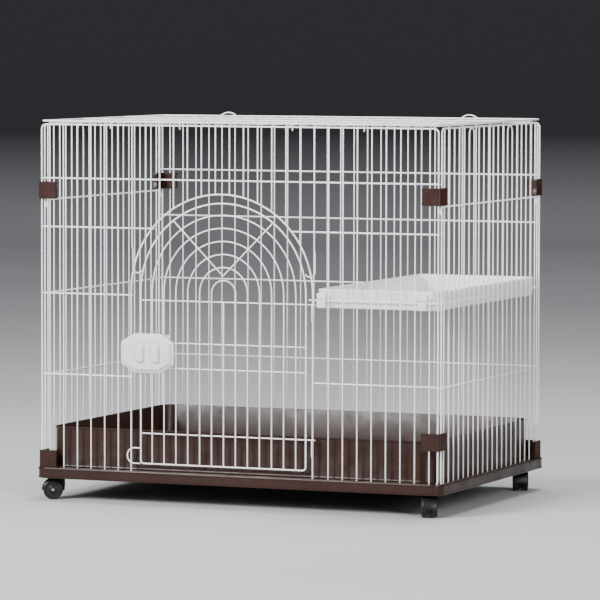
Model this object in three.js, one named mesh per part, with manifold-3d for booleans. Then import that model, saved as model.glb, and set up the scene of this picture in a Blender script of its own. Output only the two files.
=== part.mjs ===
// Wire rabbit cage on casters: six welded wire panels, an arched door with a thumb latch,
// a hinged roof, a moulded base tray, a hanging shelf and four twin-wheel casters.
// Millimetres, +Z up. X runs left to right seen from the front, Y runs from the front to the back.
import * as THREE from 'three';
import { mergeVertices } from 'three/addons/utils/BufferGeometryUtils.js';
import Module from 'manifold-3d';

const wasm = await Module();
wasm.setup();

// ---------- driving dimensions ----------

const GAP = 0.3;                 // air between pieces that touch
const WIRE = 3.0;                // thickness of the upright wires
const FRAME = 3.6;               // thickness of the frame wires and rails

const PITCH = 33;                // spacing of the upright wires on the wide panels
const WIDE_WIRES = 28;           // upright wires between the edge wires, front and rear
const EDGE_GAP = 19.5;           // edge wire to the first upright
const HALF_WIDTH = EDGE_GAP + PITCH * (WIDE_WIRES - 1) / 2;
const HALF_DEPTH = 320;          // centre of the cage to the front and rear panels

const SIDE_X = 466;              // centre of the cage to the side panels
const SIDE_HALF = 303;           // half the length of a side panel
const SIDE_WIRES = 20;
const SIDE_PITCH = 2 * SIDE_HALF / SIDE_WIRES;

const RIM_TOP = 73;              // top of the base rim above the floor
const RIM_BOTTOM = 49;
const BOTTOM_RAIL = 68.5;        // bottom rails sit in grooves in the rim
const TOP_RAIL = 827;
const FRONT_RAILS = [279, 457, 603, 709.5];
const SIDE_RAILS = [276, 456, 661];
const SHELF_RAIL = FRONT_RAILS[1];

const ROOF_WIRE = 831.4;         // roof wires pass just over the top rails
const ROOF_FRAME = 834.8;
const ROOF_HOOKS = [-297, -132, 132, 297];
const ROOF_STIFFENERS = [-HALF_DEPTH, -107, 107, HALF_DEPTH];

const ARCH_X = -35.5;            // middle of the arched doorway
const ARCH_Z = 466;              // centre of the arch
const ARCH_RADIUS = 214;
const HINGE_X = ARCH_X + ARCH_RADIUS;
const JAMB_X = ARCH_X - ARCH_RADIUS;

const DOOR_X = -32;              // middle of the door frame
const DOOR_RADIUS = 194.5;
const DOOR_BOTTOM = 90;
const DOOR_RING_X = -30;         // middle of the door's inner hoops
const DOOR_RING_STEP = 28.2;
const DOOR_RINGS = 6;
const DOOR_RAILS = [156, 447];
const LATCH_RAILS = [300, 355];
const DOOR_RIGHT = DOOR_X + DOOR_RADIUS;
const DOOR_LEFT = DOOR_X - DOOR_RADIUS;

const LATCH_X = -208;            // middle of the latch plate
const LATCH_Z = 332;
const LATCH_W = 125;
const LATCH_H = 86;
const LATCH_BACK = -HALF_DEPTH - 3;
const LATCH_FRONT = -HALF_DEPTH - 15;
const GRIP_FRONT = -HALF_DEPTH - 22;
const BOLT_TRAVEL = 8.5;
const LATCH_REAR = -HALF_DEPTH + 11.6;
const LATCH_CUT_X = 32;          // the latch plate's cut corners
const LATCH_CUT_Z = 19;
const LATCH_SKIN = 3;
const GRIP_HALF_X = 9;
const GRIP_HALF_Z = 19;
const SLIDE_HALF_Z = 13;
const LATCH_SCREWS = [[-182, 366], [-211, 309]];
const GRIP_X = [LATCH_X - 14, LATCH_X + 23];

const HEAD_INSET = (WIRE + FRAME) / 2 + GAP;   // the head of the front panel clears the jambs
const STOP_Z = ARCH_Z + 52;      // height of the bent wire ends behind the door
const HOOK_RADIUS = 4.5;         // mid radius of the wire hooks and hinge eyes
const HINGE_TAIL = 37;
const BRACE_FOOT = 38;           // the door's braces, above the centre of the hoops
const BRACE_RUN = 117;
const BRACE_RISE = 155;
const STOP_RADIUS = 17;          // the bent stop at the door's lower free corner
const STOP_REACH = 14;

const ROOF_LOOPS = [-297, 297];  // raised finger loops on the roof's rear edge
const LOOP_HALF = 20;
const LOOP_RISE = 8;
const LOOP_RADIUS = (LOOP_HALF ** 2 + LOOP_RISE ** 2) / (2 * LOOP_RISE);

const CLIP_HEIGHT = 37;
const CLIP_LEG = 43;
const CLIP_THICK = 8.5;
const CLIP_PROUD = 5.5;          // clip face outside the wire centres
const CLIP_ROUND = 6;
const CLIP_UPPER_Z = 664;

const SHELF_LEFT = 182;
const SHELF_RIGHT = 460;
const SHELF_HALF_Y = 309;
const SHELF_BOTTOM = 440;
const SHELF_TOP = 481;
const SHELF_SKIN = 2.5;
const SHELF_HOOK_TOP = 473;
const SHELF_HOOKS = [198, 429];

const RIM_X = 478;               // half sizes of the base rim
const RIM_Y = 333;
const TRAY_X = 452;              // half sizes of the tray wall at its foot
const TRAY_Y = 305;
const TRAY_TOP = 162;
const TRAY_DRAFT = 1;            // how far the wall's outside leans in by its top
const TRAY_SKIN = 3;

const CASTER_X = 434;
const CASTER_Y = 288;
const CASTER_TRAIL = 18;
const WHEEL_SIDES = 16;
const WHEEL_RADIUS = 22.2;
const WHEEL_Z = WHEEL_RADIUS * Math.cos(Math.PI / WHEEL_SIDES);
const WHEEL_WIDTH = 13;
const WHEEL_OFFSET = 10.5;
const SOCKET_TOP = 72;
const STEM_FOOT = WHEEL_Z + 20;
const FLOOR_TOP = RIM_BOTTOM + TRAY_SKIN;

const CORNERS = [[-1, -1], [1, -1], [1, 1], [-1, 1]];
const LOW_CLIP_Z = RIM_TOP + GAP;
const RAISED_CLIP_Z = 143.5;     // the front right lower clip sits higher than the others
const CLIPS = [
  ['front_left', -1, -1, LOW_CLIP_Z],
  ['front_right', 1, -1, RAISED_CLIP_Z],
  ['rear_right', 1, 1, LOW_CLIP_Z],
  ['rear_left', -1, 1, LOW_CLIP_Z],
];

// Rest headings of the casters: how far each trailing wheel is turned from pointing left.
const HEADING_ACROSS = THREE.MathUtils.degToRad(22.5);
const HEADING_BACK = THREE.MathUtils.degToRad(112.5);

// ---------- materials ----------

function plain(color, roughness, metalness = 0) {
  return new THREE.MeshStandardMaterial({ color, roughness, metalness });
}

const wirePaint = () => plain(0xf1f1ef, 0.35);
const darkPlastic = () => plain(0x35190f, 0.35);
const clipPlastic = () => plain(0x3a1d14, 0.4);
const shelfPlastic = () => plain(0xece8e2, 0.3);
const latchPlastic = () => plain(0xdcdce0, 0.35);
const blackPlastic = () => plain(0x111112, 0.45);
const steel = () => plain(0x9a9da0, 0.3, 1);

// ---------- solids ----------

// Points are rounded to the micrometre, so faces meant to be level are exactly level.
function solidOf(geometry) {
  let bare = geometry.clone();
  const points = bare.attributes.position.array;
  for (let i = 0; i < points.length; i += 1) {
    points[i] = Math.round(points[i] * 1000) / 1000;
  }
  bare.deleteAttribute('normal');
  bare.deleteAttribute('uv');
  bare = mergeVertices(bare, 1e-4);
  const mesh = new wasm.Mesh({
    numProp: 3,
    vertProperties: new Float32Array(bare.attributes.position.array),
    triVerts: new Uint32Array(bare.index.array),
  });
  return new wasm.Manifold(mesh);
}

function geometryOf(solid) {
  const mesh = solid.getMesh();
  const geometry = new THREE.BufferGeometry();
  geometry.setAttribute('position', new THREE.BufferAttribute(mesh.vertProperties, 3));
  geometry.setIndex(new THREE.BufferAttribute(mesh.triVerts, 1));
  return geometry;
}

function join(solids) {
  return solids.reduce((whole, next) => whole.add(next));
}

// A block between two limits on each axis, given in either order.
function box(x0, x1, y0, y1, z0, z1) {
  const geometry = new THREE.BoxGeometry(Math.abs(x1 - x0), Math.abs(y1 - y0), Math.abs(z1 - z0));
  geometry.translate((x0 + x1) / 2, (y0 + y1) / 2, (z0 + z1) / 2);
  return solidOf(geometry);
}

function upright(x, y, z0, z1, size = WIRE) {
  return box(x - size / 2, x + size / 2, y - size / 2, y + size / 2, z0, z1);
}

function railX(y, z, x0, x1, size = FRAME) {
  return box(x0, x1, y - size / 2, y + size / 2, z - size / 2, z + size / 2);
}

function railY(x, z, y0, y1, size = FRAME) {
  return box(x - size / 2, x + size / 2, y0, y1, z - size / 2, z + size / 2);
}

// A square wire between two points of the XZ plane.
function slantedWire(from, to, y, size = WIRE) {
  const length = from.distanceTo(to);
  const geometry = new THREE.BoxGeometry(length, size, size);
  geometry.rotateY(-Math.atan2(to.y - from.y, to.x - from.x));
  geometry.translate((from.x + to.x) / 2, y, (from.y + to.y) / 2);
  return solidOf(geometry);
}

// A flat shape drawn in X and Z, thick from y0 to y1.
function plateXZ(shape, y0, y1, curveSegments = 6) {
  const geometry = new THREE.ExtrudeGeometry(shape, { depth: y1 - y0, bevelEnabled: false, curveSegments });
  geometry.rotateX(Math.PI / 2);
  geometry.translate(0, y1, 0);
  return solidOf(geometry);
}

// A flat shape drawn in X and Y, thick from z0 to z1.
function plateXY(shape, z0, z1, curveSegments = 3) {
  const geometry = new THREE.ExtrudeGeometry(shape, { depth: z1 - z0, bevelEnabled: false, curveSegments });
  geometry.translate(0, 0, z0);
  return solidOf(geometry);
}

function roundedRectangle(halfX, halfY, radius) {
  const shape = new THREE.Shape();
  shape.moveTo(-halfX + radius, -halfY);
  shape.lineTo(halfX - radius, -halfY);
  shape.absarc(halfX - radius, -halfY + radius, radius, -Math.PI / 2, 0, false);
  shape.lineTo(halfX, halfY - radius);
  shape.absarc(halfX - radius, halfY - radius, radius, 0, Math.PI / 2, false);
  shape.lineTo(-halfX + radius, halfY);
  shape.absarc(-halfX + radius, halfY - radius, radius, Math.PI / 2, Math.PI, false);
  shape.lineTo(-halfX, -halfY + radius);
  shape.absarc(-halfX + radius, -halfY + radius, radius, Math.PI, 1.5 * Math.PI, false);
  return shape;
}

// A block with rounded corners whose sides lean in by `draft` from z0 up to z1.
function draftedBlock([halfX, halfY, radius], z0, z1, draft, centreX = 0) {
  const shape = roundedRectangle(halfX, halfY, radius);
  const options = { depth: z1 - z0, bevelEnabled: false, curveSegments: 3 };
  const geometry = new THREE.ExtrudeGeometry(shape, options);
  const points = geometry.attributes.position;
  for (let i = 0; i < points.count; i += 1) {
    const lean = draft * points.getZ(i) / (z1 - z0);
    points.setX(i, points.getX(i) * (1 - lean / halfX));
    points.setY(i, points.getY(i) * (1 - lean / halfY));
  }
  geometry.translate(centreX, 0, z0);
  return solidOf(geometry);
}

// A band of an arc, `size` thick, as a flat shape.
function arcBand(cx, cy, radius, from, to, size) {
  const outer = radius + size / 2;
  const inner = radius - size / 2;
  const shape = new THREE.Shape();
  shape.moveTo(cx + outer * Math.cos(from), cy + outer * Math.sin(from));
  shape.absarc(cx, cy, outer, from, to, false);
  shape.lineTo(cx + inner * Math.cos(to), cy + inner * Math.sin(to));
  shape.absarc(cx, cy, inner, to, from, true);
  return shape;
}

// An upside-down U: a half circle on two legs that reach down to `foot`.
function hoop(cx, cz, radius, foot, size) {
  const outer = radius + size / 2;
  const inner = radius - size / 2;
  const shape = new THREE.Shape();
  shape.moveTo(cx + outer, foot);
  shape.lineTo(cx + outer, cz);
  shape.absarc(cx, cz, outer, 0, Math.PI, false);
  shape.lineTo(cx - outer, foot);
  shape.lineTo(cx - inner, foot);
  shape.lineTo(cx - inner, cz);
  shape.absarc(cx, cz, inner, Math.PI, 0, true);
  shape.lineTo(cx + inner, foot);
  return shape;
}

function cylinderZ(x, y, radius, z0, z1, sides = 12) {
  const geometry = new THREE.CylinderGeometry(radius, radius, z1 - z0, sides);
  geometry.rotateX(Math.PI / 2);
  geometry.translate(x, y, (z0 + z1) / 2);
  return solidOf(geometry);
}

function cylinderY(x, z, radius, y0, y1, sides = 12) {
  const geometry = new THREE.CylinderGeometry(radius, radius, y1 - y0, sides);
  geometry.translate(x, (y0 + y1) / 2, z);
  return solidOf(geometry);
}

// ---------- scene ----------

const cage = new THREE.Group();

function addPart(name, solid, material, parent = cage) {
  const mesh = new THREE.Mesh(geometryOf(solid), material);
  mesh.name = name;
  parent.add(mesh);
  return mesh;
}

// ---------- wire panels ----------

const wideWireX = [];
for (let i = 0; i < WIDE_WIRES; i += 1) {
  wideWireX.push(-HALF_WIDTH + EDGE_GAP + i * PITCH);
}

const sideWireY = [];
for (let i = 0; i < SIDE_WIRES; i += 1) {
  sideWireY.push(-SIDE_HALF + SIDE_PITCH * (i + 0.5));
}

// Rails lie on the inner side of the uprights. They are fused to the frame wires
// and, through a small weld, to every fourth upright.
const RAIL_INSET = (WIRE + FRAME) / 2 + 0.1;
const RAIL_STUB = FRAME / 2 + 1;     // rail ends stand a little past the wires they end on
const WELD_EVERY = 4;

function weldAtX(x, wallY, inward, z) {
  const y0 = wallY + inward * WIRE / 4;
  const y1 = wallY + inward * (RAIL_INSET - FRAME / 4);
  return box(x - 1.2, x + 1.2, y0, y1, z - 1.2, z + 1.2);
}

function weldAtY(wallX, y, inward, z) {
  const x0 = wallX + inward * WIRE / 4;
  const x1 = wallX + inward * (RAIL_INSET - FRAME / 4);
  return box(x0, x1, y - 1.2, y + 1.2, z - 1.2, z + 1.2);
}

// A rail of a wide panel between x0 and x1, with its end welds and inner welds.
function wideRail(wallY, inward, z, x0, x1, wires) {
  const solids = [railX(wallY + inward * RAIL_INSET, z, x0 - RAIL_STUB, x1 + RAIL_STUB)];
  const inner = wires.filter((x) => x > x0 + 1 && x < x1 - 1);
  const welds = [x0, x1].concat(inner.filter((x, i) => i % WELD_EVERY === WELD_EVERY - 1));
  for (const x of welds) {
    solids.push(weldAtX(x, wallY, inward, z));
  }
  return solids;
}

function makeRearPanel() {
  const y = HALF_DEPTH;
  const solids = [
    railX(y, TOP_RAIL, -HALF_WIDTH - FRAME / 2, HALF_WIDTH + FRAME / 2),
    railX(y, BOTTOM_RAIL, -HALF_WIDTH - FRAME / 2, HALF_WIDTH + FRAME / 2),
    upright(-HALF_WIDTH, y, BOTTOM_RAIL, TOP_RAIL, FRAME),
    upright(HALF_WIDTH, y, BOTTOM_RAIL, TOP_RAIL, FRAME),
  ];
  for (const x of wideWireX) {
    solids.push(upright(x, y, BOTTOM_RAIL, TOP_RAIL));
  }
  for (const z of FRONT_RAILS) {
    solids.push(...wideRail(y, -1, z, -HALF_WIDTH, HALF_WIDTH, wideWireX));
  }
  return join(solids);
}

// A side panel, built for the right-hand side; the left one is the same, turned half a turn.
function makeSidePanel() {
  const solids = [
    railY(SIDE_X, TOP_RAIL, -SIDE_HALF - FRAME / 2, SIDE_HALF + FRAME / 2),
    railY(SIDE_X, BOTTOM_RAIL, -SIDE_HALF - FRAME / 2, SIDE_HALF + FRAME / 2),
    upright(SIDE_X, -SIDE_HALF, BOTTOM_RAIL, TOP_RAIL, FRAME),
    upright(SIDE_X, SIDE_HALF, BOTTOM_RAIL, TOP_RAIL, FRAME),
  ];
  for (const y of sideWireY) {
    solids.push(upright(SIDE_X, y, BOTTOM_RAIL, TOP_RAIL));
  }
  const welded = sideWireY.filter((y, i) => i % WELD_EVERY === WELD_EVERY - 1);
  for (const z of SIDE_RAILS) {
    solids.push(railY(SIDE_X - RAIL_INSET, z, -SIDE_HALF - RAIL_STUB, SIDE_HALF + RAIL_STUB));
    for (const y of [-SIDE_HALF, SIDE_HALF].concat(welded)) {
      solids.push(weldAtY(SIDE_X, y, -1, z));
    }
  }
  return join(solids);
}

// Height of the doorway arch above a given x.
function archHeight(x) {
  return ARCH_Z + Math.sqrt(ARCH_RADIUS ** 2 - (x - ARCH_X) ** 2);
}

// The wing of the front panel beside the doorway, from the edge wire to the jamb.
function makeFrontWing(side) {
  const y = -HALF_DEPTH;
  const edge = side * HALF_WIDTH;
  const jamb = side < 0 ? JAMB_X : HINGE_X;
  const x0 = Math.min(edge, jamb);
  const x1 = Math.max(edge, jamb);
  const wires = wideWireX.filter((x) => x > x0 + EDGE_GAP / 2 && x < x1 - EDGE_GAP / 2);
  const solids = [
    railX(y, TOP_RAIL, x0 - FRAME / 2, x1 + FRAME / 2),
    railX(y, BOTTOM_RAIL, x0 - FRAME / 2, x1 + FRAME / 2),
    upright(edge, y, BOTTOM_RAIL, TOP_RAIL, FRAME),
    upright(jamb, y, BOTTOM_RAIL, TOP_RAIL, WIRE),
  ];
  for (const x of wires) {
    solids.push(upright(x, y, BOTTOM_RAIL, TOP_RAIL));
  }
  for (const z of FRONT_RAILS) {
    solids.push(...wideRail(y, 1, z, x0, x1, wires));
  }
  return join(solids);
}

// A rail of the front panel's head, fused at chosen points to the arch or to an upright.
function headRail(z, x0, x1, welds) {
  const y = -HALF_DEPTH;
  return [railX(y + RAIL_INSET, z, x0, x1)].concat(welds.map((x) => weldAtX(x, y, 1, z)));
}

// The head of the front panel over the doorway: the arch, the uprights that end on it,
// the rails beside it, and the two bent wire ends behind the door that stop it.
function makeFrontHead() {
  const y = -HALF_DEPTH;
  const x0 = JAMB_X + HEAD_INSET;
  const x1 = HINGE_X - HEAD_INSET;
  const wires = wideWireX.filter((x) => x > x0 && x < x1);
  const arch = arcBand(ARCH_X, ARCH_Z, ARCH_RADIUS - HEAD_INSET, 0, Math.PI, FRAME);
  const solids = [
    railX(y, TOP_RAIL, x0, x1),
    plateXZ(arch, y - FRAME / 2, y + FRAME / 2, 10),
  ];
  for (const x of wires) {
    solids.push(upright(x, y, archHeight(x) - HEAD_INSET, TOP_RAIL));
  }
  const first = wires[0];
  const last = wires[wires.length - 1];
  const [, , lowRail, highRail] = FRONT_RAILS;
  solids.push(...headRail(highRail, x0, x1, wires.filter((x, i) => i % 3 === 1)));
  solids.push(...headRail(lowRail, x0, first + PITCH / 3, [first]));
  solids.push(...headRail(lowRail, last - PITCH / 3, x1, [last]));
  const reach = Math.sqrt((ARCH_RADIUS - HEAD_INSET) ** 2 - (STOP_Z - ARCH_Z) ** 2);
  const stops = [[ARCH_X - reach, DOOR_LEFT + FRAME], [ARCH_X + reach, DOOR_RIGHT - FRAME]];
  for (const [root, tip] of stops) {
    const behind = y + RAIL_INSET + 1;
    solids.push(box(root, tip, behind - WIRE / 2, behind + WIRE / 2, STOP_Z - WIRE / 2, STOP_Z + WIRE / 2));
    solids.push(box(root - 1.5, root + 1.5, y, behind, STOP_Z - WIRE / 2, STOP_Z + WIRE / 2));
  }
  return join(solids);
}

// ---------- roof ----------

// A hook that wraps the rail below it, as an open ring in the YZ plane.
function hookRing(x, y, z, from, to) {
  const ring = arcBand(y, z, HOOK_RADIUS, from, to, WIRE);
  const geometry = new THREE.ExtrudeGeometry(ring, { depth: WIRE, bevelEnabled: false, curveSegments: 5 });
  geometry.rotateX(Math.PI / 2);
  geometry.rotateZ(Math.PI / 2);
  geometry.translate(x - WIRE / 2, 0, 0);
  return solidOf(geometry);
}

function makeRoof() {
  const frontY = -HALF_DEPTH;
  const solids = [];
  for (const y of ROOF_STIFFENERS) {
    solids.push(railX(y, ROOF_FRAME, -HALF_WIDTH - FRAME / 2, HALF_WIDTH + FRAME / 2));
  }
  for (const x of [-HALF_WIDTH, HALF_WIDTH]) {
    solids.push(railY(x, ROOF_FRAME, frontY, HALF_DEPTH, WIRE));
  }
  wideWireX.forEach((x, i) => {
    solids.push(railY(x, ROOF_WIRE, frontY - WIRE / 2, HALF_DEPTH + WIRE / 2, WIRE));
    const fused = i % 2 ? [frontY] : [HALF_DEPTH];
    for (const y of i % WELD_EVERY ? fused : ROOF_STIFFENERS) {
      solids.push(box(x - 1.2, x + 1.2, y - 1.2, y + 1.2, ROOF_WIRE, ROOF_FRAME));
    }
  });
  for (const x of ROOF_HOOKS) {
    solids.push(hookRing(x, HALF_DEPTH, TOP_RAIL, -Math.PI / 2, Math.PI * 0.75));
    solids.push(upright(x, HALF_DEPTH, TOP_RAIL + HOOK_RADIUS, ROOF_FRAME));
    const clasp = frontY - FRAME / 2 - GAP - WIRE;
    solids.push(box(x - WIRE / 2, x + WIRE / 2, clasp, clasp + WIRE, TOP_RAIL - 8, ROOF_FRAME));
    solids.push(box(x - WIRE / 2, x + WIRE / 2, clasp, frontY, ROOF_FRAME - 1.5, ROOF_FRAME + 1.5));
  }
  for (const x of ROOF_LOOPS) {
    const sweep = Math.asin(LOOP_HALF / LOOP_RADIUS);
    const middle = ROOF_FRAME + LOOP_RISE - LOOP_RADIUS;
    const loop = arcBand(x, middle, LOOP_RADIUS, Math.PI / 2 - sweep, Math.PI / 2 + sweep, WIRE);
    solids.push(plateXZ(loop, HALF_DEPTH - WIRE / 2, HALF_DEPTH + WIRE / 2, 4));
  }
  return join(solids);
}

// ---------- door ----------

// The hinge eye: the rail's end bent round the jamb, with a tail that hangs down in front.
function hingeEye(z) {
  const eye = arcBand(HINGE_X, -HALF_DEPTH, HOOK_RADIUS, -Math.PI / 2, Math.PI * 0.72, WIRE);
  const tailY = -HALF_DEPTH - HOOK_RADIUS;
  return [
    plateXY(eye, z - WIRE / 2, z + WIRE / 2, 5),
    box(HINGE_X - 1.5, HINGE_X + 1.5, tailY - 1.5, tailY + 1.5, z - HINGE_TAIL, z + WIRE / 2),
  ];
}

function makeDoor() {
  const y = -HALF_DEPTH;
  const railLine = y + RAIL_INSET;
  const frame = hoop(DOOR_X, ARCH_Z, DOOR_RADIUS, DOOR_BOTTOM, FRAME);
  const solids = [
    plateXZ(frame, y - FRAME / 2, y + FRAME / 2, 7),
    railX(y, DOOR_BOTTOM, DOOR_LEFT - FRAME / 2, DOOR_RIGHT + FRAME / 2),
    upright(DOOR_RING_X, y, DOOR_BOTTOM, DOOR_RAILS[1] + WIRE),
  ];
  for (let i = 1; i <= DOOR_RINGS; i += 1) {
    const ring = hoop(DOOR_RING_X, ARCH_Z, i * DOOR_RING_STEP, DOOR_BOTTOM, WIRE);
    solids.push(plateXZ(ring, y - WIRE / 2, y + WIRE / 2, 4));
  }
  for (const z of DOOR_RAILS) {
    solids.push(railX(railLine, z, DOOR_LEFT - FRAME / 2, HINGE_X - 2, WIRE));
    solids.push(...hingeEye(z));
  }
  for (const z of LATCH_RAILS) {
    solids.push(railX(railLine, z, DOOR_LEFT - FRAME / 2, DOOR_RIGHT + FRAME / 2, WIRE));
  }
  for (const z of DOOR_RAILS.concat(LATCH_RAILS)) {
    for (const x of [DOOR_LEFT, DOOR_RING_X, DOOR_RIGHT]) {
      solids.push(weldAtX(x, y, 1, z));
    }
  }
  // Two braces fan out from the middle of the hoops to the frame.
  for (const side of [-1, 1]) {
    const from = new THREE.Vector2(DOOR_RING_X, ARCH_Z + BRACE_FOOT);
    const to = new THREE.Vector2(DOOR_RING_X + side * BRACE_RUN, ARCH_Z + BRACE_RISE);
    solids.push(slantedWire(from, to, y - WIRE + GAP));
  }
  // A bent stop on the free edge, in front of the jamb.
  const stopY = y - FRAME / 2 - WIRE;
  const stopX = DOOR_LEFT - STOP_REACH;
  const stopZ = DOOR_BOTTOM + STOP_RADIUS;
  const stop = arcBand(stopX, stopZ, STOP_RADIUS, Math.PI / 2, 1.5 * Math.PI, WIRE);
  solids.push(plateXZ(stop, stopY, stopY + WIRE, 6));
  for (const z of [DOOR_BOTTOM, DOOR_BOTTOM + 2 * STOP_RADIUS]) {
    solids.push(box(stopX, DOOR_LEFT + 1.5, stopY, stopY + WIRE, z - 1.5, z + 1.5));
    solids.push(box(DOOR_LEFT - 1.5, DOOR_LEFT + 1.5, stopY + 1, y, z - 1.5, z + 1.5));
  }
  return join(solids);
}

// ---------- latch ----------

// An eight-sided plate: a rectangle with its corners cut.
function latchOutline() {
  const [left, right] = [LATCH_X - LATCH_W / 2, LATCH_X + LATCH_W / 2];
  const [low, high] = [LATCH_Z - LATCH_H / 2, LATCH_Z + LATCH_H / 2];
  const shape = new THREE.Shape();
  shape.moveTo(left, low + LATCH_CUT_Z);
  shape.lineTo(left + LATCH_CUT_X, low);
  shape.lineTo(right - LATCH_CUT_X, low);
  shape.lineTo(right, low + LATCH_CUT_Z);
  shape.lineTo(right, high - LATCH_CUT_Z);
  shape.lineTo(right - LATCH_CUT_X, high);
  shape.lineTo(left + LATCH_CUT_X, high);
  shape.lineTo(left, high - LATCH_CUT_Z);
  return shape;
}

// A thumb grip's block between two depths.
function gripBlock(gripX, y0, y1) {
  return box(
    gripX - GRIP_HALF_X, gripX + GRIP_HALF_X, y0, y1, LATCH_Z - GRIP_HALF_Z, LATCH_Z + GRIP_HALF_Z,
  );
}

// The cover is hollow behind and has a window for the sliding grip to move in.
function makeLatchCover() {
  const [slidingX, fixedX] = GRIP_X;
  const face = LATCH_FRONT + LATCH_SKIN;
  const cavity = box(LATCH_X - 52, LATCH_X + 50, face, LATCH_BACK + 1, LATCH_Z - 31, LATCH_Z + 39);
  const windowLeft = slidingX - GRIP_HALF_X - 2;
  const windowRight = slidingX + GRIP_HALF_X + 2 + BOLT_TRAVEL;
  const windowHalf = SLIDE_HALF_Z + 1;
  const window = box(
    windowLeft, windowRight, LATCH_FRONT - 1, LATCH_BACK, LATCH_Z - windowHalf, LATCH_Z + windowHalf,
  );
  const plate = plateXZ(latchOutline(), LATCH_FRONT, LATCH_BACK);
  return plate.subtract(cavity).subtract(window).add(gripBlock(fixedX, GRIP_FRONT, LATCH_FRONT + 1));
}

function makeLatchBack() {
  const plate = box(DOOR_LEFT - 11, LATCH_X + 48, LATCH_REAR - 6, LATCH_REAR, LATCH_Z - 36, LATCH_Z + 40);
  const solids = [plate];
  for (const [x, z] of LATCH_SCREWS) {
    solids.push(cylinderY(x, z, 3.4, LATCH_FRONT + 3 + GAP, LATCH_REAR - 3, 12));
  }
  const bores = LATCH_SCREWS.map(([x, z]) => cylinderY(x, z, 1.8, LATCH_FRONT + 6, LATCH_REAR + 1, 10));
  return join(solids).subtract(join(bores));
}

function makeLatchScrew([x, z]) {
  const shank = cylinderY(x, z, 1.5, LATCH_FRONT + 8, LATCH_REAR + GAP + 1, 8);
  return shank.add(cylinderY(x, z, 3, LATCH_REAR + GAP, LATCH_REAR + GAP + 2, 10));
}

function makeLatchBolt() {
  const slideBack = LATCH_FRONT + 7.5;
  const tipFront = -HALF_DEPTH + 2.2;
  const tipBack = tipFront + 2.8;
  const armX = JAMB_X + 4.5;
  const slideFront = LATCH_FRONT + LATCH_SKIN + 0.5;
  const low = LATCH_Z - SLIDE_HALF_Z;
  const high = LATCH_Z + SLIDE_HALF_Z;
  const neckLeft = GRIP_X[0] - GRIP_HALF_X;
  const neckRight = GRIP_X[0] + GRIP_HALF_X;
  const solids = [
    box(armX, LATCH_X + 18, slideFront, slideBack, low, high),
    box(armX, armX + 6, slideFront, tipBack, LATCH_Z - 6, LATCH_Z + 6),
    box(armX - 10, armX + 6, tipFront, tipBack, LATCH_Z - 6, LATCH_Z + 6),
    box(neckLeft, neckRight, LATCH_FRONT - 1, slideBack, low + 1, high - 1),
    gripBlock(GRIP_X[0], GRIP_FRONT, LATCH_FRONT - 0.5),
  ];
  const springSlot = box(LATCH_X + 2, LATCH_X + 19, LATCH_FRONT, LATCH_BACK, LATCH_Z - 4.5, LATCH_Z + 4.5);
  return join(solids).subtract(springSlot);
}

// The return spring, drawn at its pressed length.
function makeLatchSpring() {
  const from = LATCH_X + 2 + BOLT_TRAVEL + GAP;
  const to = LATCH_X + 50 - GAP;
  const turns = 6;
  class Coil extends THREE.Curve {
    getPoint(t, target = new THREE.Vector3()) {
      const angle = 2 * Math.PI * turns * t;
      const x = from + 0.5 + (to - from - 1) * t;
      return target.set(x, LATCH_FRONT + 6.6 + 2.6 * Math.cos(angle), LATCH_Z + 2.6 * Math.sin(angle));
    }
  }
  const section = new THREE.Shape();
  section.absarc(0, 0, 0.45, 0, 2 * Math.PI, false);
  const geometry = new THREE.ExtrudeGeometry(section, {
    extrudePath: new Coil(), steps: 42, curveSegments: 2, bevelEnabled: false,
  });
  return solidOf(geometry);
}

// ---------- corner clips ----------

// An L-shaped clip that snaps over the corner wires of two panels from outside.
function makeCornerClip(sideX, sideY, z0) {
  const z1 = z0 + CLIP_HEIGHT;
  const outerX = SIDE_X + CLIP_PROUD;
  const outerY = HALF_DEPTH + CLIP_PROUD;
  const innerX = outerX - CLIP_THICK;
  const innerY = outerY - CLIP_THICK;
  const shape = new THREE.Shape();
  shape.moveTo(sideX * (outerX - CLIP_LEG), sideY * outerY);
  shape.lineTo(sideX * (outerX - CLIP_ROUND), sideY * outerY);
  shape.quadraticCurveTo(
    sideX * outerX, sideY * outerY, sideX * outerX, sideY * (outerY - CLIP_ROUND),
  );
  shape.lineTo(sideX * outerX, sideY * (outerY - CLIP_LEG));
  shape.lineTo(sideX * innerX, sideY * (outerY - CLIP_LEG));
  shape.lineTo(sideX * innerX, sideY * innerY);
  shape.lineTo(sideX * (outerX - CLIP_LEG), sideY * innerY);
  const half = FRAME / 2 + GAP;
  const slotFace = sideY * (HALF_DEPTH + half);
  const slotSide = sideX * (SIDE_X + half);
  const slots = [];
  for (const x of [HALF_WIDTH, wideWireX[WIDE_WIRES - 1]]) {
    const [x0, x1] = [sideX * x - half, sideX * x + half];
    slots.push(box(x0, x1, slotFace, sideY * SIDE_HALF, z0 - 1, z1 + 1));
  }
  for (const y of [SIDE_HALF, sideWireY[SIDE_WIRES - 1]]) {
    const [y0, y1] = [sideY * y - half, sideY * y + half];
    slots.push(box(sideX * HALF_WIDTH * 0.95, slotSide, y0, y1, z0 - 1, z1 + 1));
  }
  return plateXY(shape, z0, z1, 3).subtract(join(slots));
}

// ---------- base tray ----------

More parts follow.
